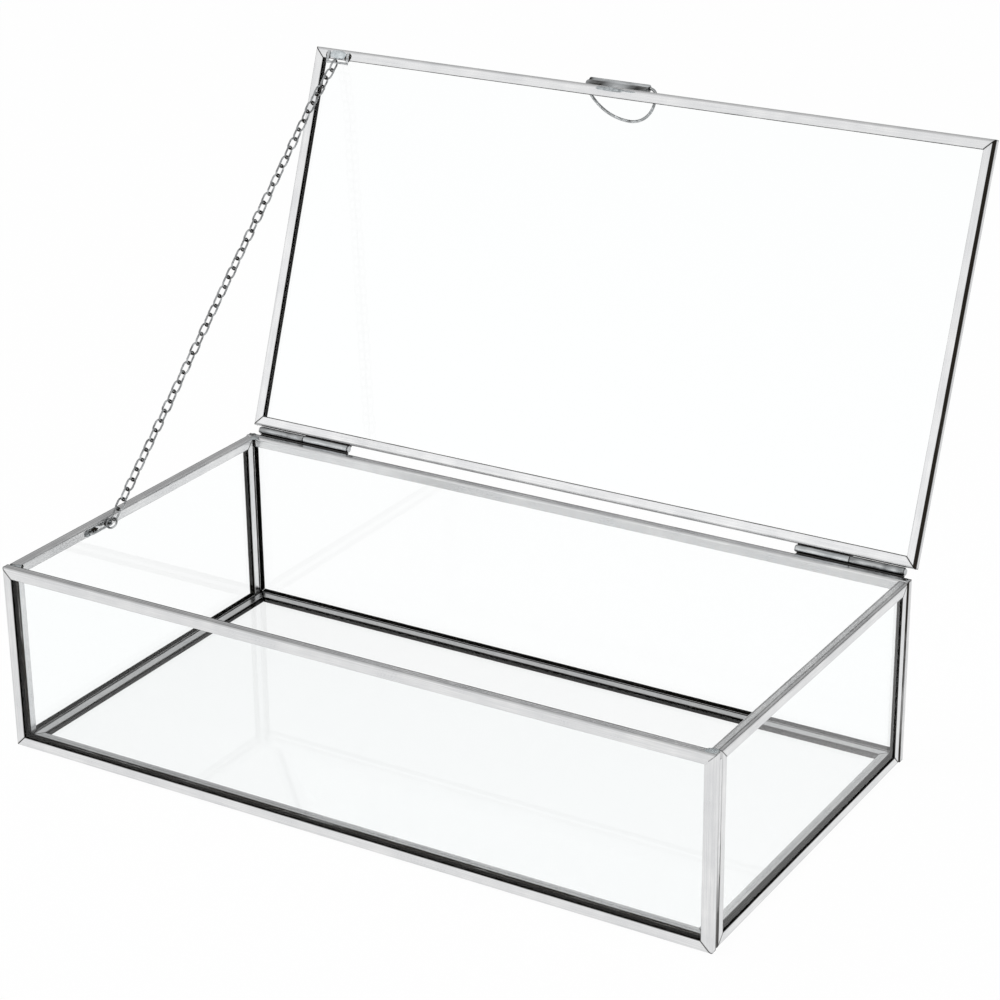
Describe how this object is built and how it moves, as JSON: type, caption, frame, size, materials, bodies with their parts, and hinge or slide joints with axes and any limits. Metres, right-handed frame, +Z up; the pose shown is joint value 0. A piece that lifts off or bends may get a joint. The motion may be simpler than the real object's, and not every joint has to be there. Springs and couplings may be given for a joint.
{
  "type": "glass casket box",
  "caption": "Low glass box with folded metal edge strips, a chained glass lid on two tube hinges and a wire ring pull, for papers and keepsakes.",
  "frame": {"origin": "middle of the plane that the box stands on", "axes": "+X to the right along the box, +Y from front to back, +Z up; the hinges are at the back"},
  "size_m": [0.3, 0.2239, 0.2292],
  "materials": {
    "folded_strip": "bright plated sheet, lightly brushed along its length",
    "soldered_tube": "plated tube with bright solder",
    "wire": "bright plated round wire",
    "chain_links": "bright plated chain",
    "clear_glass": "clear 3 mm sheet glass"
  },
  "bodies": {
    "case": {"front_strip_top": "folded_strip", "front_strip_bottom": "folded_strip", "front_strip_left": "folded_strip", "front_strip_right": "folded_strip", "front_glass": "clear_glass", "rear_strip_top": "folded_strip", "rear_strip_bottom": "folded_strip", "rear_strip_left": "folded_strip", "rear_strip_right": "folded_strip", "rear_glass": "clear_glass", "left_strip_top": "folded_strip", "left_strip_bottom": "folded_strip", "left_strip_front": "folded_strip", "left_strip_rear": "folded_strip", "left_glass": "clear_glass", "right_strip_top": "folded_strip", "right_strip_bottom": "folded_strip", "right_strip_front": "folded_strip", "right_strip_rear": "folded_strip", "right_glass": "clear_glass", "base_strip_front": "folded_strip", "base_strip_rear": "folded_strip", "base_strip_left": "folded_strip", "base_strip_right": "folded_strip", "base_glass": "clear_glass", "left_hinge_wall_knuckle": "soldered_tube", "left_hinge_pin": "wire", "right_hinge_wall_knuckle": "soldered_tube", "right_hinge_pin": "wire", "wall_staple": "wire"},
    "lid": {"lid_strip_front": "folded_strip", "lid_strip_rear": "folded_strip", "lid_strip_left": "folded_strip", "lid_strip_right": "folded_strip", "lid_glass": "clear_glass", "left_hinge_lid_knuckle": "soldered_tube", "right_hinge_lid_knuckle": "soldered_tube", "pull_tube": "soldered_tube", "lid_staple": "wire"},
    "ring": {"pull_ring": "wire"},
    "chain_length_01": {"chain_01": "chain_links"},
    "chain_length_02": {"chain_02": "chain_links"},
    "chain_length_03": {"chain_03": "chain_links"},
    "chain_length_04": {"chain_04": "chain_links"},
    "chain_length_05": {"chain_05": "chain_links"}
  },
  "joints": [
    {"name": "lid_hinge", "type": "hinge", "parent": "case", "child": "lid", "pos_m": [0, 0.08168, 0.07618], "axis": [1, 0, 0], "range_deg": [0, 110.5]},
    {"name": "ring_pull", "type": "hinge", "parent": "lid", "child": "ring", "pos_m": [-0.0086, 0.14242, 0.22773], "axis": [1, 0, 0], "range_deg": [-8.5, 249.5]},
    {"name": "chain_bend_01", "type": "hinge", "parent": "lid", "child": "chain_length_01", "pos_m": [-0.1384, 0.1345, 0.22296], "axis": [1, 0, 0], "range_deg": [-5.7, 0.5]},
    {"name": "chain_bend_02", "type": "hinge", "parent": "chain_length_01", "child": "chain_length_02", "pos_m": [-0.13936, 0.10131, 0.19407], "axis": [1, 0, 0], "range_deg": [-103.9, 0.5]},
    {"name": "chain_bend_03", "type": "hinge", "parent": "chain_length_02", "child": "chain_length_03", "pos_m": [-0.14031, 0.06974, 0.16334], "axis": [1, 0, 0], "range_deg": [-0.5, 119.7]},
    {"name": "chain_bend_04", "type": "hinge", "parent": "chain_length_03", "child": "chain_length_04", "pos_m": [-0.14126, 0.03816, 0.13261], "axis": [1, 0, 0], "range_deg": [-0.5, 64.2]},
    {"name": "chain_bend_05", "type": "hinge", "parent": "chain_length_04", "child": "chain_length_05", "pos_m": [-0.14221, 0.00658, 0.10188], "axis": [1, 0, 0], "range_deg": [-0.5, 81.1]}
  ],
  "couplings": [
    {"joint": "chain_bend_01", "follows": "lid_hinge", "ratio": -0.046666},
    {"joint": "chain_bend_02", "follows": "lid_hinge", "ratio": -0.9354},
    {"joint": "chain_bend_03", "follows": "lid_hinge", "ratio": 1.0787},
    {"joint": "chain_bend_04", "follows": "lid_hinge", "ratio": 0.57666},
    {"joint": "chain_bend_05", "follows": "lid_hinge", "ratio": 0.72917}
  ]
}
